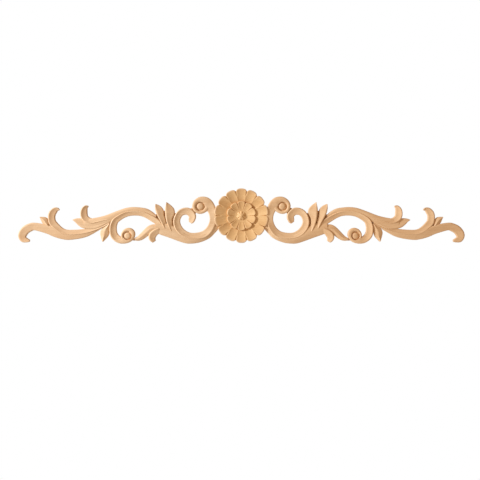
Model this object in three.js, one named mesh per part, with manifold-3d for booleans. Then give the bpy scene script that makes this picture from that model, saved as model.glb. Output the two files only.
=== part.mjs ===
// A long carved wooden onlay: a rosette of two rings of petals around a bud, and on each side of it a
// wing of scrolling stems and leaves. It is carved from one board, so the whole of it is one solid.
// X runs along its length and Z up. The flat back lies in the plane Y = 0, and the carving rises
// towards -Y. The origin is on the back, behind the middle of the rosette.
import * as THREE from "three";
import { ParametricGeometry } from "three/addons/geometries/ParametricGeometry.js";
import { mergeVertices } from "three/addons/utils/BufferGeometryUtils.js";
import Module from "manifold-3d";

// Driving dimensions, in mm
const LENGTH = 1000; // tip to tip
const ROSETTE_RADIUS = 61;
const OUTER_PETALS = 14;
const OUTER_RIM_HEIGHT = 16; // from the back to the rims of the outer petals, before they are scooped
const OUTER_CUP_DEPTH = 6.5; // how far an outer petal drops from its rim to its root
const OUTER_ROOT_RADIUS = 28;
const INNER_FLOWER_RADIUS = 33;
const INNER_PETALS = 10;
const INNER_RIM_DROP = 1.7; // inner rims below outer rims
const INNER_CUP_DEPTH = 5.8;
const INNER_ROOT_RADIUS = 8;
const PETAL_HOLLOW = 0.8; // how deep a petal is scooped between its two sides
const BUD_RADIUS = 11;
const BUD_PETALS = 6;
const BUD_TIP_RADIUS = 2; // where the bud starts to fall away
const BUD_RISE = 4.5; // top of the bud above the roots of the inner petals
const BUD_LIP = 1; // rim of the bud above the same roots
const BUD_CREASE = 2;
const OUTER_NOTCH = 4.5; // how far the rim drops between two outer petals
const OUTER_NOTCH_RADIUS = 45; // where that notch starts
const INNER_NOTCH = 3.6;
const LOBE_DEPTH = 0.09; // how far a petal's rim falls back at its sides, as a share of its reach
const LOBE_SHARPNESS = 3.5; // the power of the place across a petal that it follows
const NOTCH_SHARPNESS = 8; // the same for the notch
const RIM_WIDTH = 2.2; // the rounded edge of a petal
const RIM_DROP = 2;
const EDGE_HEIGHT = 10; // the walls of the wings, from the back
const SCROLL_RISE = 3.3; // the rims of the scrolls above those walls
const BOW_RISE = 2.6; // the same on the lighter curls further out
const STEM_RISE = 2.6;
const RIBBON_RISE = 2.2;
const LEAF_RISE = 3.4;
const GROUND_HEIGHT = 2.5; // the low ground left in the narrow gaps between forms
const EYE_RISE = 2.8; // the balls in the eyes of the scrolls above the walls
const EYE_FLOOR_DROP = 2.5; // the floor around a ball below the walls

// How finely the forms are faceted
const STEPS_PER_SPAN = 2;
const MOST_SPANS = 11; // in one length of a stroke
const STEPS_PER_OUTER_PETAL = 6;
const STEPS_PER_INNER_PETAL = 4;
const STEPS_PER_BUD_PETAL = 4;
const BALL_SIDES = 10;
const BALL_RINGS = 3;

const WOOD = new THREE.MeshStandardMaterial({ color: 0xddb488, roughness: 0.6, metalness: 0 });

// The wing is drawn in hundredths of its own reach, from the rim of the rosette outwards
const WING_REACH = LENGTH / 2 - ROSETTE_RADIUS;
const UNIT = WING_REACH / 100;

// Cross-sections: [place from the far edge, -1, to the rim side, 1, then height as a share of the rise]
const COVE = [[-1, 0], [-0.1, 0.35], [0.62, 1], [1, 0.6]];
const ROUND = [[-1, 0.3], [-0.25, 1], [0.4, 0.8], [1, 0.2]];
const BEVEL = [[-1, 0.75], [0.05, 1], [0.5, 0.6], [1, 0]];
const SCOOP = [[-1, 0.15], [-0.1, 0.55], [0.66, 1], [1, 0.65]];
const KEEL = [[-1, 0], [0, 1], [1, 0]];
const FLAT = [[-1, 1], [1, 1]];

// One wing, stroke by stroke. A stroke is a curve through [along, up, half width]; its rim lies to the
// left or to the right of the way it runs. Tips and roots are thinner than the middle by their share.
const STROKES = [
  { // the large scroll beside the rosette, from its hook round the belly to the volute
    section: COVE, rim: "left", rise: SCROLL_RISE, root: 0.55, tip: 0.75,
    points: [
      [11.9, -3.3, 0.9], [11.3, -2.1, 1.3], [11.1, 0, 1.8], [12.7, 1.9, 1.9], [15, 2.3, 1.8],
      [17.5, 1.1, 1.7], [19, -1.9, 1.7], [18.7, -5.2, 1.8], [16.5, -8.3, 1.8], [13.2, -10.1, 1.7],
      [9.5, -10.4, 1.7], [5.3, -9.6, 1.9], [2.3, -6.9, 1.8], [0.7, -3, 1.7], [0.7, 0.8, 1.9],
      [1.7, 4.5, 2.2], [3.8, 7.4, 2], [6.9, 8.3, 1.4], [9.4, 7.1, 1], [10.3, 4.9, 0.9],
      [9.5, 2.7, 0.8], [7.5, 1.7, 0.7], [5.7, 2.4, 0.5],
    ],
  },
  { // the root stem that cups the large scroll and swells into the leaves
    section: BEVEL, rim: "right", rise: STEM_RISE, root: 0.6, tip: 1,
    points: [
      [-1.1, -5.2, 0.3], [0.6, -7.9, 1.4], [3.4, -10, 1.8], [7.5, -11.7, 1.9], [11.5, -12.2, 2.05],
      [15.1, -11.5, 2.4], [22.8, -7.9, 3.2], [26.6, -6.7, 3.1], [30, -6, 2.3],
    ],
  },
  { // the tall upright leaf
    section: SCOOP, rim: "right", rise: LEAF_RISE, root: 1, tip: 0.5,
    points: [
      [22, -6.7, 0.7], [22.6, -3.9, 1.3], [22.9, -1, 1.8], [22.9, 1.9, 2.45], [23.4, 4.2, 1.8],
      [24.3, 6.9, 0.1],
    ],
  },
  { // the shorter upright leaf
    section: SCOOP, rim: "right", rise: LEAF_RISE, root: 1, tip: 0.5,
    points: [
      [25.2, -5.2, 0.7], [26, -2.6, 1.3], [27.1, 0, 1.7], [27.8, 2.4, 2], [28.9, 4.4, 1.4],
      [29.9, 5.9, 0.2],
    ],
  },
  { // the small leaf that hangs under the leaves
    section: SCOOP, rim: "left", rise: LEAF_RISE, root: 1, tip: 0.5,
    points: [
      [27.6, -7.2, 1.2], [29.8, -8.6, 1.8], [31.3, -10.2, 2], [31.4, -11.8, 1.7], [30.7, -13.3, 0.9],
    ],
  },
  { // the creased leaf that reaches down to the second scroll
    section: KEEL, rim: "right", rise: STEM_RISE, root: 1, tip: 0.6,
    points: [
      [26, -6.3, 1.6], [29.3, -6.1, 1.7], [32.4, -6.8, 2], [36.8, -10.5, 1.6], [38.6, -11.6, 1.2],
      [40.4, -12, 0.7],
    ],
  },
  { // the second scroll, over the top and round to its volute
    section: COVE, rim: "left", rise: SCROLL_RISE, root: 0.4, tip: 0.75,
    points: [
      [27.5, -5, 1.3], [30.1, -2.4, 1.5], [36.8, 1, 1.3], [44.1, 0.9, 1.4], [49.5, -1.9, 1.6],
      [51.2, -4.2, 1.7], [51.6, -6.8, 1.8], [51.1, -9.7, 1.9], [49.2, -11.8, 1.8], [46.7, -12.7, 1.6],
      [43.8, -12.3, 1.4], [41.9, -10.8, 1.2], [41.6, -8.7, 1.2], [43, -7.2, 1], [44.8, -7.1, 0.8],
      [46.3, -8.3, 0.7], [46.8, -9.9, 0.4],
    ],
  },
  { // the ribbon that lies over the second scroll and runs on outwards
    section: ROUND, rim: "right", rise: RIBBON_RISE, root: 0.5, tip: 0.8,
    points: [
      [29.6, -0.3, 0.5], [33, 1.6, 1.2], [36.6, 2.7, 1.4], [44.3, 2.7, 1.4], [55.4, -2.1, 2.2],
      [62.7, -4, 2.5], [66.3, -4.8, 2.2],
    ],
  },
  { // the pointed leaf that hangs between the second scroll and the ribbon
    section: KEEL, rim: "right", rise: STEM_RISE, root: 0.8, tip: 0.6,
    points: [
      [53.4, -4, 0.4], [54.7, -6.1, 1.4], [55.7, -8, 2.2], [56.1, -10, 2], [56.9, -13.2, 0.2],
    ],
  },
  { // the curl that ends the ribbon, bent upwards
    section: SCOOP, rim: "right", rise: BOW_RISE, root: 0.5, tip: 0.6,
    points: [
      [53.4, -0.8, 1.2], [59.6, -2.3, 1.2], [62.4, -2.7, 1.4], [64.8, -2, 1.6], [66.2, -0.5, 1.75],
      [66.5, 1.5, 1.75], [66.2, 3.2, 1.5], [65.3, 4.5, 0.9], [64.3, 4.8, 0.3],
    ],
  },
  { // the side leaf behind that curl, pointing outwards
    section: SCOOP, rim: "right", rise: RIBBON_RISE, root: 0.5, tip: 0.9,
    points: [
      [72.2, -2.1, 0.1], [70.4, -2.4, 1.1], [68.3, -3.2, 2], [65.6, -4.4, 2.2], [60.4, -4.8, 1.8],
      [53.4, -2.1, 1.2],
    ],
  },
  { // the third scroll, a long bow that turns up into a hook
    section: SCOOP, rim: "right", rise: BOW_RISE, root: 0.3, tip: 0.7,
    points: [
      [53.4, -3.2, 0.5], [56.5, -4.8, 1], [63.7, -7.4, 1.2], [70.8, -8.5, 1.4], [77, -8, 1.4],
      [81.8, -4.2, 1.8], [82.8, -1.6, 1.95], [82.6, 0.9, 1.95], [81.4, 2.7, 1.5], [80, 3.4, 0.9],
      [78.8, 2.8, 0.2],
    ],
  },
  { // the short leaf behind that hook
    section: KEEL, rim: "left", rise: STEM_RISE, root: 0.9, tip: 0.6,
    points: [
      [84.5, -5.5, 0.5], [85.7, -3.7, 1.4], [86.9, -2.1, 1.6], [88.9, -0.7, 0.2],
    ],
  },
  { // the last stem, under the third scroll and out to the hooked tip
    section: SCOOP, rim: "left", rise: BOW_RISE, root: 0.5, tip: 0.7,
    points: [
      [58, -6.3, 0.5], [65.5, -9.5, 1.3], [73.3, -10.6, 1.7], [77.2, -10.1, 1.9], [81, -8.8, 2.1],
      [84.7, -7.1, 2.2], [91.4, -5.5, 1.95], [94.3, -6.1, 2.05], [96.6, -7.6, 2.1], [97.9, -9.9, 2.05],
      [97.4, -11.8, 1.7], [95.9, -12.5, 1.2], [94.2, -12.8, 0.5],
    ],
  },
];

// The narrow gaps that aren't cut right through, as strokes of the low ground: [along, up, half width]
const GROUNDS = [
  [[20.3, 1.5, 0.8], [21.4, -3, 1], [20.4, -7.3, 0.8]],
  [[25.6, 2.6, 0.8], [25.3, -0.2, 0.9], [24.4, -4.2, 0.9]],
  [[29.6, 0.8, 0.7], [28.6, -1.5, 0.8], [27.1, -3.8, 0.8]],
];

// The eyes of the two volutes: [along, up, radius of the ball, radius of the floor around it]
const EYES = [[7.2, 4.7, 2, 2.45], [44.3, -10, 1.9, 2.35]];

const WELD = 1e-4; // mm, within which two points of a surface are one

// Manifold solids, which are used only to join closed meshes
const wasm = await Module();
wasm.setup();

function signedVolume(positions, index) {
  const [a, b, c] = [new THREE.Vector3(), new THREE.Vector3(), new THREE.Vector3()];
  let sum = 0;
  for (let i = 0; i < index.length; i += 3) {
    a.fromBufferAttribute(positions, index[i]);
    b.fromBufferAttribute(positions, index[i + 1]);
    c.fromBufferAttribute(positions, index[i + 2]);
    sum += a.dot(b.cross(c));
  }
  return sum;
}

// A closed surface becomes a solid: its seams are welded and its faces are turned outwards
function solidFrom(geometry) {
  const bare = geometry.clone();
  bare.deleteAttribute("normal");
  bare.deleteAttribute("uv");
  const welded = mergeVertices(bare, WELD);
  const index = [];
  const corners = welded.index.array;
  for (let i = 0; i < corners.length; i += 3) {
    const [a, b, c] = [corners[i], corners[i + 1], corners[i + 2]];
    if (a !== b && b !== c && c !== a) index.push(a, b, c);
  }
  if (signedVolume(welded.attributes.position, index) < 0) index.reverse();
  const vertProperties = new Float32Array(welded.attributes.position.array);
  return new wasm.Manifold(new wasm.Mesh({ numProp: 3, vertProperties, triVerts: new Uint32Array(index) }));
}

function geometryFrom(solid) {
  const mesh = solid.getMesh();
  const geometry = new THREE.BufferGeometry();
  geometry.setAttribute("position", new THREE.BufferAttribute(mesh.vertProperties, 3));
  geometry.setIndex(new THREE.BufferAttribute(mesh.triVerts, 1));
  return geometry;
}

function joined(solids) {
  return solids.reduce((whole, solid) => whole.add(solid));
}

// Height of a stroke as a share of its rise: full in the middle, less at its root and its tip
function swell(stroke, along) {
  const end = along < 0.5 ? stroke.root : stroke.tip;
  return end + (1 - end) * Math.sqrt(Math.sin(Math.PI * along));
}

// One length of a stroke, from one point on its curve to another. The surface runs round the section,
// over the carved front and back along the flat back, and closes to the middle at both ends.
function strokeLength(stroke, from, to) {
  const points = stroke.points.map((point) => new THREE.Vector3(...point));
  const curve = new THREE.CatmullRomCurve3(points, false, "catmullrom", 0.5);
  const rimSide = stroke.rim === "left" ? 1 : -1;
  const section = [...stroke.section, [1, null], [-1, null]];
  const steps = (to - from) * STEPS_PER_SPAN;
  const rings = steps + 2;
  const surface = (u, v, target) => {
    const ring = Math.round(u * rings);
    const step = Math.min(Math.max(ring - 1, 0), steps);
    const along = (from + step / STEPS_PER_SPAN) / (points.length - 1);
    const centre = curve.getPoint(along);
    const heading = curve.getTangent(along);
    const [across, share] = section[Math.round(v * section.length) % section.length];
    const closing = ring === 0 || ring === rings;
    const reach = closing ? 0 : (across * rimSide * centre.z) / Math.hypot(heading.x, heading.y);
    const front = share === null ? 0 : EDGE_HEIGHT + stroke.rise * share * swell(stroke, along);
    const height = closing ? EDGE_HEIGHT / 2 : front;
    const x = ROSETTE_RADIUS + (centre.x - heading.y * reach) * UNIT;
    target.set(x, -height, (centre.y + heading.x * reach) * UNIT);
  };
  return solidFrom(new ParametricGeometry(surface, rings, section.length));
}

// A stroke that winds round on itself is built in lengths, so that each of them is simple
function strokeSolid(stroke) {
  const spans = stroke.points.length - 1;
  const lengths = Math.ceil(spans / MOST_SPANS);
  const cuts = Array.from({ length: lengths + 1 }, (_, i) => Math.round((i * spans) / lengths));
  return joined(cuts.slice(1).map((to, i) => strokeLength(stroke, cuts[i], to)));
}

function groundSolid(points) {
  const rise = GROUND_HEIGHT - EDGE_HEIGHT;
  return strokeSolid({ section: FLAT, rim: "left", rise, root: 1, tip: 1, points });
}

// A ball in the eye of a volute, on the round floor that carries it
function eyeSolid([along, up, ball, floor]) {
  const ballRadius = ball * UNIT;
  const floorHeight = EDGE_HEIGHT - EYE_FLOOR_DROP;
  const profile = [[0, 0], [floor * UNIT, 0], [floor * UNIT, floorHeight], [ballRadius, floorHeight]];
  for (let ring = 0; ring < BALL_RINGS; ring++) {
    const lift = (ring / BALL_RINGS) * (Math.PI / 2);
    profile.push([ballRadius * Math.cos(lift), EDGE_HEIGHT + EYE_RISE * Math.sin(lift)]);
  }
  profile.push([0, EDGE_HEIGHT + EYE_RISE]);
  const geometry = new THREE.LatheGeometry(profile.map((p) => new THREE.Vector2(...p)), BALL_SIDES);
  geometry.rotateX(Math.PI);
  geometry.translate(ROSETTE_RADIUS + along * UNIT, 0, up * UNIT);
  return solidFrom(geometry);
}

// A ring of petals around the origin, one of them upright. Each petal climbs or falls from its root to
// its rim and is scooped between its two sides. A notch parts it from the next one, and its edge is
// rounded over.
function flowerSolid({ radius, petals, steps, rootRadius, root, rim, hollow, notch, notchRadius }) {
  const rootShare = rootRadius / radius;
  const rimShare = 1 - RIM_WIDTH / radius;
  const rings = [0, rootShare, (rootShare + rimShare) / 2, rimShare, 1];
  const stacks = rings.length + 1;
  const ramp = (share, from, to) => Math.min(Math.max((share - from) / (to - from), 0), 1);
  const surface = (u, v, target) => {
    const turns = u * petals;
    const across = Math.abs(2 * (turns - Math.round(turns)));
    const angle = Math.PI / 2 + u * 2 * Math.PI;
    const stack = Math.round(v * stacks);
    const share = [...rings, 1, 0][stack];
    const climb = root + (rim - root) * ramp(share, rootShare, rimShare);
    const scoop = hollow * (1 - across ** 2) * share * (2 - share);
    const split = notch * ramp(share, notchRadius / radius, 1) * across ** NOTCH_SHARPNESS;
    const round = RIM_DROP * ramp(share, rimShare, 1);
    const reach = radius * share * (1 - LOBE_DEPTH * across ** LOBE_SHARPNESS);
    const height = stack < rings.length ? climb - scoop - split - round : 0;
    target.set(reach * Math.cos(angle), -height, reach * Math.sin(angle));
  };
  return solidFrom(new ParametricGeometry(surface, petals * steps, stacks));
}

function rosetteSolid() {
  const innerRim = OUTER_RIM_HEIGHT - INNER_RIM_DROP;
  const innerRoot = innerRim - INNER_CUP_DEPTH;
  const outer = flowerSolid({
    radius: ROSETTE_RADIUS,
    petals: OUTER_PETALS,
    steps: STEPS_PER_OUTER_PETAL,
    rootRadius: OUTER_ROOT_RADIUS,
    root: OUTER_RIM_HEIGHT - OUTER_CUP_DEPTH,
    rim: OUTER_RIM_HEIGHT,
    hollow: PETAL_HOLLOW,
    notch: OUTER_NOTCH,
    notchRadius: OUTER_NOTCH_RADIUS,
  });
  const inner = flowerSolid({
    radius: INNER_FLOWER_RADIUS,
    petals: INNER_PETALS,
    steps: STEPS_PER_INNER_PETAL,
    rootRadius: INNER_ROOT_RADIUS,
    root: innerRoot,
    rim: innerRim,
    hollow: PETAL_HOLLOW,
    notch: INNER_NOTCH,
    notchRadius: INNER_ROOT_RADIUS,
  });
  const bud = flowerSolid({
    radius: BUD_RADIUS,
    petals: BUD_PETALS,
    steps: STEPS_PER_BUD_PETAL,
    rootRadius: BUD_TIP_RADIUS,
    root: innerRoot + BUD_RISE,
    rim: innerRoot + BUD_LIP,
    hollow: 0,
    notch: BUD_CREASE,
    notchRadius: 0,
  });
  return joined([outer, inner, bud]);
}

function mirrored(solid) {
  return solidFrom(geometryFrom(solid).scale(-1, 1, 1));
}

const wing = joined([...STROKES.map(strokeSolid), ...GROUNDS.map(groundSolid), ...EYES.map(eyeSolid)]);
const onlay = new THREE.Mesh(geometryFrom(joined([rosetteSolid(), wing, mirrored(wing)])), WOOD);
onlay.name = "carved_onlay";

const group = new THREE.Group();
group.add(onlay);
export default group;
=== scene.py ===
# %% [markdown]
# # A carved onlay with a rosette and scrolling wings
#
# The real object is one board of light hardwood, sawn to its outline and then carved from the front
# with gouges. The back stays flat, because it is glued to a bed head, a mantel or a door head.
#
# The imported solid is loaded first, because the overall sizes come from it. Its highest point is the
# rosette's top petal, which gives the rosette's radius, and a wing reaches from the rosette's rim to
# the end. The wing is drawn in hundredths of that reach, and one hundredth is called a unit.

# %% Load the solid and measure it
import math

import bmesh
import bpy
from mathutils import Matrix, Vector, noise
from mathutils.geometry import interpolate_bezier


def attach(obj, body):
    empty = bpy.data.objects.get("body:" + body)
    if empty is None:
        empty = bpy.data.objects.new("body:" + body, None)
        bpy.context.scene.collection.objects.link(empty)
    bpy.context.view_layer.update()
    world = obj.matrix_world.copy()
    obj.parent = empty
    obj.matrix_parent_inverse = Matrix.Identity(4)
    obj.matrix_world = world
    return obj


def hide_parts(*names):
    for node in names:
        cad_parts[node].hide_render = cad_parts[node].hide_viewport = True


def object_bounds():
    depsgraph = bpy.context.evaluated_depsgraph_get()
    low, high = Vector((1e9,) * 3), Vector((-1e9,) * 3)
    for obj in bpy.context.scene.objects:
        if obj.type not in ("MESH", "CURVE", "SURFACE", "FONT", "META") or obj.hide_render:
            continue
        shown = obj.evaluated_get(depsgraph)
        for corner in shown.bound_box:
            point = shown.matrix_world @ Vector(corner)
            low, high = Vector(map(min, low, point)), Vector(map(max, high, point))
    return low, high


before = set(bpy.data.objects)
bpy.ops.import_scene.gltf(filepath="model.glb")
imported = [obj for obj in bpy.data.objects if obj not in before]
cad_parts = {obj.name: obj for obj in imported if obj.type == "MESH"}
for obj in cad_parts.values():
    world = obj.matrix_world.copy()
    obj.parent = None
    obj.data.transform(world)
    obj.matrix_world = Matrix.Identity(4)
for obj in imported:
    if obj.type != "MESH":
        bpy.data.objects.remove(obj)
cad_low, cad_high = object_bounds()
MM = 0.001
ROSETTE_RADIUS = cad_high.z
WING_REACH = cad_high.x - ROSETTE_RADIUS
UNIT = WING_REACH / 100
print(f"rosette {ROSETTE_RADIUS / MM:.1f} mm, wing {WING_REACH / MM:.1f} mm, unit {UNIT / MM:.2f} mm")

# %% [markdown]
# ## Levels
#
# A carver first cuts the board down in steps, and only then shapes the forms. These are the levels
# above the flat back. The rosette keeps nearly the full thickness of the board: its outer petals have
# the highest rims, and its inner petals and its bud stand lower. The wings are cut down to their walls,
# and their rims, ridges and leaves rise from there. Some narrow gaps between two forms aren't sawn
# through, and the ground is the level of the thin web that is left in them.
#
# Every edge is rounded over with paper, within EDGE_WIDTH of it and down by EDGE_DROP. That is why the
# rims of the outer petals can be drawn a little above the board's face.

# %% Levels above the back
WALL = 10 * MM
GROUND = 2.5 * MM
SCROLL_RISE = 3.3 * MM
BOW_RISE = 2.6 * MM
STEM_RISE = 2.6 * MM
RIBBON_RISE = 2.2 * MM
LEAF_RISE = 3.6 * MM
EYE_TOP = WALL + 2.8 * MM
EYE_FLOOR = WALL - 0.8 * MM
OUTER_RIM = 16 * MM
OUTER_ROOT = 9 * MM
INNER_RIM = 14.3 * MM
INNER_ROOT = 8 * MM
BUD_TOP = 13.6 * MM
BUD_RIM = 9.5 * MM
EDGE_WIDTH = 1.4 * MM
EDGE_DROP = 1.3 * MM
print("walls", WALL / MM, "mm, scroll rims", (WALL + SCROLL_RISE) / MM, "mm")

# %% [markdown]
# ## Cross-sections
#
# What makes a scroll look carved is its section. A scroll is a cove: it climbs slowly from its inner
# edge and steeply to a narrow rim, which is rounded over. A leaf is a shallow scoop with one raised
# edge. A creased leaf has a sharp keel, a ribbon is a soft round with its ridge off the middle, and the
# root stem is bevelled from its ridge down to its lower edge. A crown is the plain rounded top of a
# band that is too narrow for a hollow.
#
# Each section is a function of the place across the stroke, from -1 at the far edge to 1 at the rim
# side, and it gives a share of the stroke's rise.

# %% Cross-sections
def past(value, edge):
    """How far value lies past an edge, as a share of what is left up to 1."""
    return max(0, (value - edge) / (1 - edge)) if edge < 1 else 0


def edge_drop(distance):
    """How far the sanded surface has dropped at a distance from the edge of a form."""
    return EDGE_DROP * past(1 - distance / EDGE_WIDTH, 0) ** 2


def cove(across):
    rim = 0.7
    climb = min(1, (across + 1) / (rim + 1)) ** 2
    return climb - 0.4 * past(across, rim) ** 1.3


def scoop(across):
    rim = 0.66
    climb = 0.15 + 0.85 * min(1, (across + 1) / (rim + 1)) ** 1.3
    return climb - 0.35 * past(across, rim) ** 1.5


def keel(across):
    return (1 - abs(across)) ** 1.15


def soft_round(across):
    ridge = -0.25
    side = (across - ridge) / (1 - ridge) if across > ridge else (ridge - across) / (1 + ridge)
    return 1 - 0.8 * side ** 1.8


def bevel(across):
    ridge = 0.05
    return 1 - past(across, ridge) if across > ridge else 1 - 0.6 * (ridge - across) ** 2


def crown(across):
    return 1 - 0.4 * across ** 2


for section in (cove, scoop, keel, soft_round, bevel, crown):
    print(section.__name__, [round(section(half / 2), 2) for half in range(-2, 3)])

# %% [markdown]
# ## The drawing of one wing
#
# A carver draws the wing on the board before cutting it. Here each stroke of that drawing is a curve
# through a few points. A point gives the place along the wing from the rosette's rim, the place up
# from the rosette's middle and half the width of the stroke there, in units. The other wing is the
# same drawing turned over.
#
# Rim says on which side of the stroke its rim lies, for someone who follows its points. Root and tip
# are the shares of its rise that are left at its two ends. Two words are for scrolls alone. Volute is
# the share of its length after which the band is too narrow to be hollowed. Filled_at is the place in
# its length where the hollow is nearly filled, which is beside the rosette.

# %% The strokes of the wing
STROKES = {
    "large_scroll": dict(
        section=cove, rim="left", rise=SCROLL_RISE, root=0.55, tip=0.75, volute=0.66, filled_at=0.6,
        points=[
            (12.3, -3.5, 0.9), (11.6, -2.4, 1.6), (11.1, -0.1, 1.85), (12.7, 1.9, 1.9), (15, 2.3, 1.8),
            (17.5, 1.1, 1.7), (19, -1.9, 1.7), (18.7, -5.2, 1.8), (16.5, -8.3, 1.8), (13.2, -10.1, 1.7),
            (9.5, -10.4, 1.7), (5.3, -9.6, 1.9), (2.3, -6.9, 1.8), (0.7, -3, 1.7), (0.7, 0.8, 1.9),
            (1.9, 4.4, 2.4), (3.9, 7.3, 2.1), (6.9, 8.3, 1.4), (9.4, 7.1, 1), (10.3, 4.9, 0.9),
            (9.5, 2.7, 0.8), (7.5, 1.7, 0.75), (5.6, 2.1, 0.8), (4.2, 3.2, 1), (3.4, 4.2, 1)]),
    "root_stem": dict(
        section=bevel, rim="right", rise=STEM_RISE, root=0.6, tip=1,
        points=[
            (-2.2, -4.6, 1.2), (-0.6, -6.2, 1.6), (1, -8.1, 1.5), (3.4, -10, 1.8), (7.5, -11.7, 1.9),
            (11.5, -12.2, 2.05), (15.1, -11.5, 2.4), (22.8, -7.9, 3.2), (26.6, -6.7, 3.1),
            (30, -6, 2.3)]),
    "tall_leaf": dict(
        section=scoop, rim="right", rise=LEAF_RISE, root=1, tip=0.5,
        points=[
            (21.5, -7.6, 0.7), (22.6, -3.9, 1.3), (23, -1, 1.75), (22.6, 1.9, 2.5), (23.25, 4.2, 1.85),
            (24.3, 6.9, 0.1)]),
    "short_leaf": dict(
        section=scoop, rim="right", rise=LEAF_RISE, root=1, tip=0.5,
        points=[
            (24.8, -6.2, 0.7), (26.05, -2.6, 1.3), (27.15, 0, 1.65), (27.8, 2.4, 2), (28.9, 4.4, 1.4),
            (29.9, 5.9, 0.2)]),
    "hanging_leaf": dict(
        section=scoop, rim="left", rise=LEAF_RISE, root=1, tip=0.5,
        points=[
            (27.8, -7.2, 1.2), (30.1, -8.6, 1.65), (31.5, -10.2, 1.85), (31.5, -11.8, 1.65),
            (30.6, -13.25, 0.9)]),
    "creased_leaf": dict(
        section=keel, rim="right", rise=RIBBON_RISE, root=1, tip=0.6,
        points=[
            (26, -6.3, 1.6), (29.3, -6.1, 1.7), (32.4, -6.8, 2), (36.8, -10.5, 1.6), (38.6, -11.6, 1.2),
            (40.4, -12, 0.7)]),
    "second_scroll": dict(
        section=cove, rim="left", rise=SCROLL_RISE, root=0.4, tip=0.75, volute=0.62,
        points=[
            (27.5, -5, 1.3), (30.1, -2.4, 1.5), (36.8, 1, 1.3), (44.1, 1, 1.3), (49.6, -1.8, 1.5),
            (51.2, -4.2, 1.7), (51.6, -6.8, 1.8), (51.1, -9.7, 1.9), (49.2, -11.8, 1.8),
            (46.7, -12.7, 1.6), (43.8, -12.3, 1.4), (41.9, -10.8, 1.2), (41.6, -8.7, 1.2), (43, -7.2, 1),
            (45, -7.3, 0.8), (46.5, -8.5, 0.6), (47, -10.1, 0.55), (46.7, -11.5, 0.6)]),
    "ribbon": dict(
        section=soft_round, rim="right", rise=RIBBON_RISE, root=0.5, tip=0.8,
        points=[
            (29.6, -0.3, 0.5), (33, 1.6, 1.2), (36.6, 2.7, 1.4), (44.3, 2.7, 1.4), (55.4, -2.1, 2.2),
            (62.7, -4, 2.5), (66.3, -4.8, 2.2)]),
    "pointed_leaf": dict(
        section=keel, rim="right", rise=STEM_RISE, root=0.8, tip=0.6,
        points=[
            (53.4, -4, 0.4), (54.7, -6.1, 1.4), (55.7, -8, 2.2), (56.1, -10, 2), (56.9, -13.2, 0.2)]),
    "ribbon_curl": dict(
        section=cove, rim="right", rise=SCROLL_RISE, root=0.6, tip=0.7,
        points=[
            (53.4, -0.8, 1.2), (59.6, -2.3, 1.2), (62.4, -2.7, 1.4), (64.8, -2, 1.6), (66.2, -0.5, 1.75),
            (66.5, 1.5, 1.75), (66.2, 3.2, 1.5), (65.3, 4.5, 0.9), (64.3, 4.8, 0.3)]),
    "side_leaf": dict(
        section=scoop, rim="left", rise=RIBBON_RISE, root=0.5, tip=0.3,
        points=[
            (72.2, -2.1, 0.1), (70.4, -2.4, 1.1), (68.3, -3.2, 2), (65.6, -4.4, 2.2), (60.4, -4.8, 1.8),
            (53.4, -2.1, 1.2)]),
    "third_scroll": dict(
        section=cove, rim="right", rise=BOW_RISE, root=0.4, tip=0.8,
        points=[
            (53.4, -3.2, 0.5), (56.5, -4.8, 1), (63.7, -7.4, 1.2), (70.8, -8.5, 1.4), (77, -8, 1.4),
            (81.9, -4.2, 1.75), (82.95, -1.6, 1.75), (82.75, 0.9, 1.75), (81.5, 2.6, 1.5),
            (80.2, 3.3, 0.95), (79.1, 3, 0.3)]),
    "hook_leaf": dict(
        section=keel, rim="left", rise=STEM_RISE, root=0.9, tip=0.6,
        points=[
            (84.5, -5.5, 0.5), (85.7, -3.7, 1.4), (86.9, -2.1, 1.6), (88.9, -0.7, 0.2)]),
    "last_stem": dict(
        section=scoop, rim="left", rise=RIBBON_RISE, root=0.5, tip=0.9,
        points=[
            (58, -6.3, 0.5), (65.5, -9.5, 1.3), (73.3, -10.6, 1.7), (77.2, -10.1, 1.9), (81, -8.8, 2.1),
            (84.7, -7.1, 2.2), (91.4, -5.5, 1.95), (94.3, -6.1, 2.05), (96.6, -7.6, 2.1),
            (97.9, -9.9, 2.05), (97.4, -11.8, 1.7), (95.9, -12.5, 1.2), (94.2, -12.8, 0.5)]),
}
print(len(STROKES), "strokes in a wing")

# %% [markdown]
# ## From points to a centre line
#
# A smooth curve through given points can be drawn by Bezier spans whose handles point along the
# line between each point's two neighbours. Blender's own interpolate_bezier then gives the points in
# between. The half width rides along as the third coordinate, so it changes as smoothly as the line.

# %% Centre lines
STEP = 1.3 * MM


def centre_line(points):
    """The points of a stroke, about STEP apart, as vectors of place along, place up and half width."""
    corners = [Vector(point) for point in points]
    corners = [2 * corners[0] - corners[1], *corners, 2 * corners[-1] - corners[-2]]
    line = [corners[1]]
    for before, start, end, after in zip(corners, corners[1:], corners[2:], corners[3:]):
        handles = start + (end - before) / 6, end - (after - start) / 6
        pieces = max(3, math.ceil((end.xy - start.xy).length * UNIT / STEP))
        line += interpolate_bezier(start, *handles, end, pieces + 1)[1:]
    return line


def crossing(line, step):
    """The direction across the stroke at one of its points, to the left of the way it runs."""
    heading = line[min(step + 1, len(line) - 1)].xy - line[max(step - 1, 0)].xy
    heading.normalize()
    return Vector((-heading.y, heading.x))


lines = {name: centre_line(stroke["points"]) for name, stroke in STROKES.items()}
print("longest centre line has", max(len(line) for line in lines.values()), "points")

# %% [markdown]
# ## The height of a stroke
#
# The rise of a stroke is full in its middle and lower at its two ends. In the volute of a scroll the
# cove turns into a crown, and where a scroll is filled it swells to FILLED_TOP of its rise, fading out
# along the stroke over FILLED_REACH of its length.

# %% Heights along a stroke
VOLUTE_TURN = 5
FILLED_SHARE = 0.75
FILLED_REACH = 0.08
FILLED_TOP = 1.3


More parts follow.
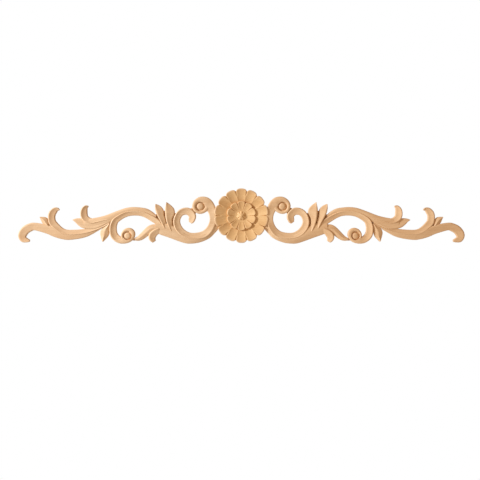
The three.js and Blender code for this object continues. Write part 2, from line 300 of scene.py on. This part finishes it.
def swell(stroke, along):
    """Share of its rise that a stroke has at a place along it."""
    end = stroke["root"] if along < 0.5 else stroke["tip"]
    return end + (1 - end) * math.sqrt(math.sin(math.pi * min(max(along, 0), 1)))


def stroke_height(stroke, along, across, half_width):
    """Height of a stroke above the back, at a place along and across it."""
    if "flat" in stroke:
        return stroke["flat"]
    share = stroke["section"](across)
    if "volute" in stroke:
        turned = min(1, VOLUTE_TURN * past(along, stroke["volute"]))
        share += turned * (crown(across) - share)
    if "filled_at" in stroke:
        filled = FILLED_SHARE * math.exp(-((along - stroke["filled_at"]) / FILLED_REACH) ** 2)
        share += filled * (FILLED_TOP - share)
    top = WALL + stroke["rise"] * share * swell(stroke, along)
    return top - edge_drop((1 - abs(across)) * half_width * UNIT)


middle = stroke_height(STROKES["tall_leaf"], 0.5, 0, 2)
print("a tall leaf is", round(middle / MM, 1), "mm high in its middle")

# %% [markdown]
# ## Carving one stroke
#
# A stroke could be lofted from section to section. It is quicker to start from a flat grid, as many
# squares long as the centre line has steps, and to bend it: each vertex keeps its place along and
# across, and gets its height from the section. The squares are narrow near the two edges, where the
# section turns quickest. The bent sheet then gets walls down to the back and a flat bottom, and that
# is the same operation for every form here, so it is a function of its own.
#
# A long scroll winds over itself, and a sheet that does so can't be closed to a solid. So a stroke of
# more than MOST_STEPS is carved in lengths, which are joined later.

# %% Sheets and solids
ACROSS = 16
MOST_STEPS = 110
LEAST_HALF_WIDTH = 0.1


def stand_on_back(form):
    """Closes a carved sheet: its border is extruded to the back plane and the bottom is filled."""
    border = [edge for edge in form.edges if edge.is_boundary]
    walls = bmesh.ops.extrude_edge_only(form, edges=border)["geom"]
    foot = [item for item in walls if isinstance(item, bmesh.types.BMEdge) and item.is_boundary]
    for vert in {vert for edge in foot for vert in edge.verts}:
        vert.co.y = 0
    bmesh.ops.contextual_create(form, geom=foot)
    bmesh.ops.recalc_face_normals(form, faces=form.faces[:])
    return form


def carve_length(stroke, line, first, last):
    """The solid of a stroke from one step of its centre line to another."""
    steps = last - first
    form = bmesh.new()
    bmesh.ops.create_grid(form, x_segments=steps, y_segments=ACROSS, size=0.5)
    rim_side = 1 if stroke["rim"] == "left" else -1
    for vert in form.verts:
        step = first + round((vert.co.x + 0.5) * steps)
        across = math.sin(math.pi * vert.co.y)
        along = step / (len(line) - 1)
        half_width = max(line[step].z, LEAST_HALF_WIDTH)
        place = line[step].xy + crossing(line, step) * across * rim_side * half_width
        height = stroke_height(stroke, along, across, half_width)
        vert.co = (ROSETTE_RADIUS + place.x * UNIT, -height, place.y * UNIT)
    return stand_on_back(form)


def carve_stroke(stroke, line):
    """A stroke as one or more solids, short enough that none of them winds over itself."""
    lengths = math.ceil((len(line) - 1) / MOST_STEPS)
    cuts = [round(cut * (len(line) - 1) / lengths) for cut in range(lengths + 1)]
    return [carve_length(stroke, line, *ends) for ends in zip(cuts, cuts[1:])]


def piece_from(form, name):
    """Makes an object of a bmesh and frees the bmesh."""
    mesh = bpy.data.meshes.new(name)
    form.to_mesh(mesh)
    form.free()
    piece = bpy.data.objects.new(name, mesh)
    bpy.context.scene.collection.objects.link(piece)
    return piece


parts = [piece_from(form, name) for name in STROKES for form in carve_stroke(STROKES[name], lines[name])]
print(len(parts), "solids for the strokes of one wing")

# %% [markdown]
# ## The ground between the forms
#
# Where two forms lie close together, a carver doesn't saw the gap through, but cuts a deep groove. A
# short flat stroke at the level of the ground closes each of these gaps.

# %% Webs
WEBS = [
    [(20.3, 1.5, 0.8), (21.4, -3, 1), (20.4, -7.3, 0.8)],
    [(25.6, 2.6, 0.8), (25.3, -0.2, 0.9), (24.4, -4.2, 0.9)],
    [(29.6, 0.8, 0.7), (28.6, -1.5, 0.8), (27.1, -3.8, 0.8)],
    [(11.6, 4, 0.4), (10.8, 2.4, 0.6), (9.6, 1, 0.5)],
    [(53, -3.5, 0.5), (53.3, -6, 0.6), (53.6, -8.3, 0.5)],
    [(84.4, -5.4, 0.5), (84.4, -2.6, 0.5), (84.6, -0.6, 0.4)],
    [(39.4, -12.1, 0.6), (40.6, -12.1, 0.6), (42, -12, 0.6)],
]
web = dict(rim="left", flat=GROUND)
for points in WEBS:
    parts += [piece_from(form, "web") for form in carve_stroke(web, centre_line(points))]
print(len(parts), "solids with the webs")

# %% [markdown]
# ## The eyes of the scrolls
#
# In the eye of each volute a carver sinks a ring and leaves a round button standing in it. A cutter
# will take away what lies above the ring's floor, and a bed and a button are then put back. The bed is
# a short cylinder that reaches a little under the band around it, so that no gap is left there. The
# button starts as a sphere, and its points are lifted to make it flat on top and steep at its sides.
#
# An eye is given by its place along and up, the radius of its button and the radius of its ring, in
# units too, and BED_MARGIN is how much wider than the ring its bed is.

# %% Forms of an eye
CUTTER_DEPTH = 10 * MM
BUTTON_DEPTH = 4.6 * MM
BUTTON_POWER = 3
TO_FRONT = Matrix.Rotation(math.pi / 2, 4, "X")


def eye_cylinder(radius, low, high):
    """A cylinder between two levels above the back."""
    form = bmesh.new()
    place = TO_FRONT @ Matrix.Translation((0, 0, (low + high) / 2))
    bmesh.ops.create_cone(form, cap_ends=True, segments=48, radius1=radius, radius2=radius,
                          depth=high - low, matrix=place)
    return form


def eye_button(radius):
    """A round button with its top at EYE_TOP, cut off at the back plane."""
    form = bmesh.new()
    bmesh.ops.create_uvsphere(form, u_segments=36, v_segments=24, radius=1, matrix=TO_FRONT)
    for vert in form.verts:
        out = min(1, vert.co.xz.length)
        lift = math.copysign((1 - out ** BUTTON_POWER) ** (1 / BUTTON_POWER), vert.co.y)
        vert.co = (vert.co.x * radius, lift * BUTTON_DEPTH, vert.co.z * radius)
    bmesh.ops.translate(form, verts=form.verts, vec=(0, BUTTON_DEPTH - EYE_TOP, 0))
    bmesh.ops.bisect_plane(form, geom=form.verts[:] + form.edges[:] + form.faces[:],
                           plane_co=(0, 0, 0), plane_no=(0, 1, 0), clear_outer=True)
    bmesh.ops.contextual_create(form, geom=[edge for edge in form.edges if edge.is_boundary])
    return form


print("a ring is sunk", round((WALL - EYE_FLOOR) / MM, 2), "mm below the walls")

# %% Place the eyes
EYES = [(7, 4.8, 1.8, 2.25), (44.15, -10.3, 1.75, 2.15)]
BED_MARGIN = 0.4
cutters = []
eyes = []
for along, up, button_radius, ring_radius in EYES:
    forms = [eye_cylinder(ring_radius * UNIT, EYE_FLOOR, EYE_FLOOR + CUTTER_DEPTH),
             eye_cylinder((ring_radius + BED_MARGIN) * UNIT, 0, EYE_FLOOR),
             eye_button(button_radius * UNIT)]
    for form in forms:
        bmesh.ops.translate(form, verts=form.verts, vec=(ROSETTE_RADIUS + along * UNIT, 0, up * UNIT))
        bmesh.ops.recalc_face_normals(form, faces=form.faces[:])
    cutter, bed, button = [piece_from(form, "eye") for form in forms]
    cutters.append(cutter)
    eyes += [bed, button]
print(len(eyes), "solids and", len(cutters), "cutters for the eyes of one wing")

# %% [markdown]
# ## The rosette
#
# All petals of a ring are alike, so one petal is shaped and spun round the middle in copies. A petal
# starts as a grid. It is scooped between its two sides, it climbs from its root to its rim, and near
# the rim a notch parts it from its neighbours. The bud is the same form with its middle highest.
#
# Start says where the petals begin, as a share of the radius, and curve how late they climb. Hollow is
# the depth of the scoop. Notch is the depth of the notch, notch_from the share of the radius at which
# it starts, and crease how narrow it is. Lobe says how far the corners of the petal are rounded off,
# and grid how many squares it has across and out. PETAL_EDGE is below 1, so that the rims of petals
# are sanded over more widely than those of strokes.

# %% The rings of the rosette
FLOWERS = {
    "outer_petals": dict(petals=14, radius=ROSETTE_RADIUS, start=0.46, root=OUTER_ROOT, rim=OUTER_RIM,
                         curve=1.1, hollow=0.8 * MM, notch=4.5 * MM, notch_from=0.74, crease=14,
                         lobe=0.09, grid=(20, 26)),
    "inner_petals": dict(petals=10, radius=33 * MM, start=0.25, root=INNER_ROOT, rim=INNER_RIM,
                         curve=1.2, hollow=0.8 * MM, notch=3.8 * MM, notch_from=0.3, crease=12,
                         lobe=0.13, grid=(20, 22)),
    "bud": dict(petals=7, radius=11.5 * MM, start=0.06, root=BUD_TOP, rim=BUD_RIM,
                curve=1.4, hollow=0, notch=3 * MM, notch_from=0.1, crease=4,
                lobe=0.09, grid=(14, 14)),
}
print([(name, flower["petals"]) for name, flower in FLOWERS.items()])

# %% One petal
PETAL_EDGE = 0.6
LOBE_POWER = 3.5


def petal_height(flower, share, side):
    """Height of a petal at a share of the radius, side being 0 on its middle and 1 at its edges."""
    grown = min(1, past(share, flower["start"]) * (1 + EDGE_WIDTH / flower["radius"]))
    climb = flower["root"] + (flower["rim"] - flower["root"]) * grown ** flower["curve"]
    hollow = flower["hollow"] * (1 - side ** 2) * share * (2 - share)
    notch = flower["notch"] * past(share, flower["notch_from"]) * side ** flower["crease"]
    from_rim = (1 - share) * flower["radius"]
    return climb - hollow - notch - edge_drop(from_rim * PETAL_EDGE)


def petal_sheet(flower):
    """One petal, pointing up, as a sheet."""
    across_steps, out_steps = flower["grid"]
    form = bmesh.new()
    bmesh.ops.create_grid(form, x_segments=across_steps, y_segments=out_steps, size=0.5)
    for vert in form.verts:
        across = math.sin(math.pi * vert.co.x)
        share = flower["start"] + (1 - flower["start"]) * (vert.co.y + 0.5)
        side = abs(across)
        grown = past(share, flower["start"])
        angle = math.pi / 2 + across * math.pi / flower["petals"]
        reach = flower["radius"] * share * (1 - flower["lobe"] * grown * side ** LOBE_POWER)
        height = petal_height(flower, share, side) if grown > 0 else flower["root"]
        vert.co = (reach * math.cos(angle), -height, reach * math.sin(angle))
    return form


outer = FLOWERS["outer_petals"]
heights = [petal_height(outer, tenth / 10, 0) / MM for tenth in range(5, 11)]
print("along an outer petal, in mm:", [round(height, 1) for height in heights])

# %% Spin the petals
SEAM = 0.02 * MM


def flower_solid(flower):
    """All petals of a ring, with the hole in their middle filled, as one closed solid."""
    form = petal_sheet(flower)
    everything = form.verts[:] + form.edges[:] + form.faces[:]
    bmesh.ops.spin(form, geom=everything, cent=(0, 0, 0), axis=(0, 1, 0), use_duplicate=True,
                   angle=2 * math.pi * (1 - 1 / flower["petals"]), steps=flower["petals"] - 1)
    bmesh.ops.remove_doubles(form, verts=form.verts, dist=SEAM)
    just_past_start = flower["radius"] * flower["start"] * 1.05
    mouth = [edge for edge in form.edges
             if edge.is_boundary and all(vert.co.xz.length < just_past_start for vert in edge.verts)]
    bmesh.ops.contextual_create(form, geom=mouth)
    return stand_on_back(form)


rosette = [piece_from(flower_solid(flower), name) for name, flower in FLOWERS.items()]
print("rosette faces:", [len(piece.data.polygons) for piece in rosette])

# %% [markdown]
# ## One board
#
# The real thing is one piece of wood, so the forms are joined into one closed solid. The Boolean
# modifier's manifold solver does that exactly: where two strokes cross, their surfaces meet in a
# crease, as two gouge cuts do, and everything buried inside is removed. The eyes are cut into the
# joined strokes before their beds and buttons are added.

# %% Join the forms
def joined(pieces, name, operation="UNION"):
    """The first piece with all the others added to it, or cut from it. The pieces are removed."""
    whole = pieces[0]
    for other in pieces[1:]:
        boolean = whole.modifiers.new("boolean", "BOOLEAN")
        boolean.operation = operation
        boolean.solver = "MANIFOLD"
        boolean.object = other
    graph = bpy.context.evaluated_depsgraph_get()
    mesh = bpy.data.meshes.new_from_object(whole.evaluated_get(graph))
    for piece in pieces:
        bpy.data.objects.remove(piece)
    mesh.name = name
    result = bpy.data.objects.new(name, mesh)
    bpy.context.scene.collection.objects.link(result)
    return result


def turned_over(piece):
    """The same solid on the other side of the middle."""
    form = bmesh.new()
    form.from_mesh(piece.data)
    bmesh.ops.scale(form, vec=(-1, 1, 1), verts=form.verts)
    bmesh.ops.recalc_face_normals(form, faces=form.faces[:])
    return piece_from(form, piece.name + "_left")


strokes = joined(parts, "strokes")
sunk = joined([strokes, *cutters], "sunk", "DIFFERENCE")
wing = joined([sunk, *eyes], "wing")
print("one wing has", len(wing.data.polygons), "faces")
onlay = joined([*rosette, wing, turned_over(wing)], "carved_wood_onlay")
print("the onlay has", len(onlay.data.polygons), "faces")

# %% [markdown]
# ## Marks of the hand
#
# A carved surface is never quite even: the gouge leaves shallow waves and finer ripples, and the paper
# that follows only softens them. A bump map could draw them, but then the rims would stay too straight,
# so they are cut into the mesh itself. SANDING is more than both can add, so nothing grows past the
# board. Along and up say how close they lie: they are longer along the grain, which runs the length of
# the onlay. Layer keeps the two from lining up. The foot of the walls stays as it was sawn.

# %% Tool marks
SANDING = 0.26 * MM
SAWN_HEIGHT = 2 * MM
WAVES = dict(along=70, up=150, depth=0.13 * MM, layer=0)
RIPPLES = dict(along=210, up=420, depth=0.05 * MM, layer=7)
SHARP_ANGLE = math.radians(38)


def unevenness(place, marks):
    """How far one kind of marks lies below their mean at a point."""
    spot = Vector((place.x * marks["along"], place.z * marks["up"], marks["layer"]))
    return marks["depth"] * noise.noise(spot)


for vert in onlay.data.vertices:
    if vert.co.y < -SAWN_HEIGHT:
        vert.co.y += SANDING + unevenness(vert.co, WAVES) + unevenness(vert.co, RIPPLES)
onlay.data.shade_smooth()
onlay.data.set_sharp_from_angle(angle=SHARP_ANGLE)
lowest = [min(vert.co[axis] for vert in onlay.data.vertices) / MM for axis in range(3)]
highest = [max(vert.co[axis] for vert in onlay.data.vertices) / MM for axis in range(3)]
print("the carved mesh spans, in mm:", [round(top - foot, 2) for foot, top in zip(lowest, highest)])

# %% [markdown]
# ## Painted shade and highlights, and end grain
#
# The grooves get painted shade, a darker brown, with a little real dust and sealer in it, and the rims
# get a painted highlight, a paler cream, with a little real rubbing in it. End grain drinks more finish.
# All three follow the shape, so they are measured on the mesh and kept as attributes: hollow is
# above 0 in a groove and below 0 on a rim, and end_grain is 1 where the surface faces along X.

# %% Attributes for the finish and for the painted shade and highlights
SHORTEST_EDGE = 0.01 * MM


def spread(values, links, rounds):
    """The values, each replaced by the mean of itself and its neighbours, a few times over."""
    for _ in range(rounds):
        values = [(value + sum(values[other] for other in near)) / (1 + len(near))
                  for value, near in zip(values, links)]
    return values


def bend_at(vert, near, verts):
    """How far the neighbours of a vertex rise above its own plane, as a slope."""
    total = 0
    for other in near:
        reach = verts[other].co - vert.co
        total += reach.dot(vert.normal) / max(reach.length, SHORTEST_EDGE)
    return total / max(len(near), 1)


verts = onlay.data.vertices
links = [[] for _ in verts]
for edge in onlay.data.edges:
    first, second = edge.vertices
    links[first].append(second)
    links[second].append(first)
bends = spread([bend_at(vert, near, verts) for vert, near in zip(verts, links)], links, rounds=3)
ends = spread([abs(vert.normal.x) ** 3 for vert in verts], links, rounds=2)
for name, values in (("hollow", bends), ("end_grain", ends)):
    onlay.data.attributes.new(name, "FLOAT", "POINT").data.foreach_set("value", values)
print("hollow runs from", round(min(bends), 2), "to", round(max(bends), 2))

# %% [markdown]
# ## Arithmetic with sockets
#
# The wood is drawn by formulas. This class lets an output socket stand in a formula like a number,
# and its one other method adds any node, with its settings first and then its inputs.

# %% Shader arithmetic
class Wire:
    """An output socket of a node tree."""

    def __init__(self, tree, socket=None):
        self.tree = tree
        self.socket = socket

    def node(self, kind, settings, inputs, output=0):
        """Adds a node and gives one of its outputs."""
        added = self.tree.nodes.new(kind)
        for name, value in settings.items():
            setattr(added, name, value)
        for name, value in inputs.items():
            if isinstance(value, Wire):
                self.tree.links.new(value.socket, added.inputs[name])
            else:
                added.inputs[name].default_value = value
        return Wire(self.tree, added.outputs[output])

    def maths(self, operation, first, second):
        return self.node("ShaderNodeMath", {"operation": operation}, {0: first, 1: second})

    def __add__(self, other):
        return self.maths("ADD", self, other)

    def __sub__(self, other):
        return self.maths("SUBTRACT", self, other)

    def __rsub__(self, other):
        return self.maths("SUBTRACT", other, self)

    def __mul__(self, other):
        return self.maths("MULTIPLY", self, other)

    __radd__ = __add__
    __rmul__ = __mul__


print("sockets can be added, subtracted and multiplied")

# %% [markdown]
# ## Colours and patterns
#
# A Mix node has sockets for numbers, vectors and colours, and those for colours come late in its list,
# so their places are named. Mixing lays one colour over another, and tinting multiplies them, as a
# clear glaze does. A noise whose coordinates are stretched gives streaks instead of spots.

# %% Colours and patterns
SHARE, FIRST, SECOND, RESULT = 0, 6, 7, 2


def linear(red, green, blue):
    """A colour given in steps of 255, as the shader wants it."""
    return tuple((part / 255) ** 2.2 for part in (red, green, blue)) + (1,)


def stretched_noise(wire, place, along, across, detail):
    stretched = wire.node("ShaderNodeMapping", {}, {"Vector": place, "Scale": (along, across, across)})
    return wire.node("ShaderNodeTexNoise", {}, {"Vector": stretched, "Scale": 1, "Detail": detail})


def between(wire, amount, low, high):
    """The amount as a share of the way from low to high, kept from 0 to 1."""
    return wire.node("ShaderNodeMapRange", {}, {"Value": amount, "From Min": low, "From Max": high})


def mixed(wire, share, first, second, way="MIX"):
    return wire.node("ShaderNodeMix", {"data_type": "RGBA", "blend_type": way},
                     {SHARE: share, FIRST: first, SECOND: second}, output=RESULT)


def tinted(wire, share, colour, tint):
    return mixed(wire, share, colour, (*tint, 1), "MULTIPLY")


print("a middle grey is", round(linear(128, 128, 128)[0], 3), "to the shader")

# %% [markdown]
# ## The grain
#
# This is a pale, warm wood with no stain and hardly any gloss, such as beech or rubberwood. Its grain
# is straight and runs along the onlay. Three noises, each stretched along X, give it broad bands, fine
# streaks and short pores.

# %% Grain
wood = bpy.data.materials.new("light_wood")
wood.use_nodes = True
tree = wood.node_tree
wire = Wire(tree)
place = wire.node("ShaderNodeTexCoord", {}, {}, output="Object")
bands = stretched_noise(wire, place, along=3, across=45, detail=2)
streaks = stretched_noise(wire, place, along=22, across=520, detail=3)
pores = between(wire, stretched_noise(wire, place, along=150, across=2600, detail=1), 0.62, 0.72)
tone = between(wire, bands * 0.6 + streaks * 0.4, 0.36, 0.64)
plain = mixed(wire, tone, linear(220, 181, 136), linear(233, 200, 157))
print("grain has", len(tree.nodes), "nodes")

# %% [markdown]
# ## How the colour changes over the onlay
#
# The rosette is yellower than the wings, the wood is tinted a little warmer towards the right as painted
# shade, for the weaker lamp light that reaches that side, and it is greyer near the two ends. Each of
# these is a tint whose share follows the place on the onlay.

# %% Tints
SIDE_FADE = (-0.05, 0.2)
END_FADE = (0.3, 0.45)
from_middle = wire.node("ShaderNodeVectorMath", {"operation": "LENGTH"}, {0: place}, output="Value")
lengthwise = wire.node("ShaderNodeSeparateXYZ", {}, {0: place})
on_rosette = between(wire, from_middle, ROSETTE_RADIUS + 2 * MM, ROSETTE_RADIUS - 4 * MM)
yellowed = tinted(wire, on_rosette, plain, (1, 0.92, 0.72))
# Painted shade: warmer towards the right, where less lamp light reaches.
painted_shade_warmth = tinted(wire, between(wire, lengthwise, *SIDE_FADE), yellowed, (1.065, 1.015, 0.945))
greyed = tinted(wire, between(wire, from_middle, *END_FADE), painted_shade_warmth, (0.94, 0.92, 0.91))
print("tints bring it to", len(tree.nodes), "nodes")

# %% [markdown]
# ## Pores, grooves and rims
#
# The pores, the end grain and the grooves are laid over the tinted wood in three browns, and the rims
# in a cream. The brown in the grooves is painted shade with a little dust, and the cream on the rims is
# a painted highlight with a little rubbing. The finish is a thin, nearly matt sealer, and the streaks
# and pores can just be felt.

# %% Finish
hollow = wire.node("ShaderNodeAttribute", {"attribute_name": "hollow"}, {}, output="Fac")
end_grain = wire.node("ShaderNodeAttribute", {"attribute_name": "end_grain"}, {}, output="Fac")
colour = mixed(wire, pores * 0.18, greyed, linear(178, 132, 88))
colour = mixed(wire, end_grain * 0.3, colour, linear(206, 160, 112))
# Painted shade: the grooves are darkened towards a deep brown, with a little dust and sealer in it.
colour = mixed(wire, between(wire, hollow, 0.05, 0.55) * 0.72, colour, linear(148, 98, 50))
# Painted highlight: the rims are lightened towards a cream, with a little rubbing in it.
colour = mixed(wire, between(wire, hollow * -1, 0.05, 0.5) * 0.4, colour, linear(244, 234, 212))
relief = wire.node("ShaderNodeBump", {}, {"Height": streaks * 0.7 - pores * 0.3, "Strength": 0.25,
                                          "Distance": 0.1 * MM}, output="Normal")
shader = tree.nodes["Principled BSDF"]
tree.links.new(colour.socket, shader.inputs["Base Color"])
tree.links.new((tone * 0.08 + 0.5).socket, shader.inputs["Roughness"])
tree.links.new(relief.socket, shader.inputs["Normal"])
shader.inputs["Specular IOR Level"].default_value = 0.35
print("the wood has", len(tree.nodes), "nodes")

# %% [markdown]
# ## The onlay in place
#
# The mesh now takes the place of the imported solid, rides on the same body and gets the wood.

# %% Put the onlay in place
onlay.data.materials.clear()
onlay.data.materials.append(wood)
for face in onlay.data.polygons:
    face.material_index = 0
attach(onlay, "root")
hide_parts("carved_onlay")
print(onlay.name, "has", len(onlay.data.vertices), "vertices")

# %% [markdown]
# ## The floor
#
# The onlay hangs at the height of a mantel, so the floor lies well below it. It is a sheet of pale
# paper. The light of the room is warm, so the paper is slightly blue and has a faint cool glow, and
# together they make it look nearly neutral.

# %% Floor
FLOOR_DROP = 1.5
FLOOR_REACH = 4
sheet = bmesh.new()
bmesh.ops.create_grid(sheet, x_segments=1, y_segments=1, size=FLOOR_REACH,
                      matrix=Matrix.Translation((0, 0, -FLOOR_DROP)))
floor = piece_from(sheet, "floor")
paper = bpy.data.materials.new("floor_paper")
paper.use_nodes = True
surface = paper.node_tree.nodes["Principled BSDF"]
surface.inputs["Base Color"].default_value = (0.8, 0.87, 0.92, 1)
surface.inputs["Roughness"].default_value = 0.9
surface.inputs["Emission Color"].default_value = (0.88, 0.94, 1, 1)
surface.inputs["Emission Strength"].default_value = 0.23
floor.data.materials.append(paper)
print("floor", FLOOR_DROP, "m below the middle of the rosette")

# %% [markdown]
# ## The light
#
# One soft lamp stands far to the left and a little above and in front. It grazes the carving, so
# every rim throws a short shadow to the right. The lamp is slightly cool, and the light of the room,
# which fills the shadows, is warm, so hollows look richer in colour than rims. To the camera the room
# itself is plain white.

# %% Lamp
TO_LAMP = Vector((-0.871, -0.375, 0.317)).normalized()
LAMP_DISTANCE = 2.5
lamp = bpy.data.lights.new("key", "AREA")
lamp.shape = "DISK"
lamp.size = 0.4
lamp.energy = 75
lamp.color = (0.92, 1, 1.14)
key = bpy.data.objects.new("key", lamp)
key.location = TO_LAMP * LAMP_DISTANCE
key.rotation_euler = TO_LAMP.to_track_quat("Z", "Y").to_euler()
bpy.context.scene.collection.objects.link(key)
print("lamp at", [round(part, 2) for part in key.location])

# %% Light of the room
ROOM_LIGHT = (0.43, 0.285, 0.175, 1)
WHITE = (1, 1, 1, 1)
room = bpy.data.worlds.new("room")
room.use_nodes = True
sky = Wire(room.node_tree)
seen = sky.node("ShaderNodeLightPath", {}, {}, output="Is Camera Ray")
around = mixed(sky, seen, ROOM_LIGHT, WHITE)
room.node_tree.links.new(around.socket, room.node_tree.nodes["Background"].inputs["Color"])
bpy.context.scene.world = room
bpy.context.scene.view_settings.view_transform = "Standard"
print("the room is lit by", ROOM_LIGHT[:3])

# %% [markdown]
# ## The camera
#
# The camera stands square to the onlay, a little below its middle, and far enough away for a long lens.

# %% Camera
CAMERA_PLACE = (-0.0031, -2.544, -0.0543)
lens = bpy.data.cameras.new("camera")
lens.lens = 85
lens.sensor_width = 36
camera = bpy.data.objects.new("camera", lens)
camera.location = CAMERA_PLACE
camera.rotation_euler = (math.pi / 2, 0, 0)
bpy.context.scene.collection.objects.link(camera)
bpy.context.scene.camera = camera
print("camera", round(-camera.location.y, 2), "m away")
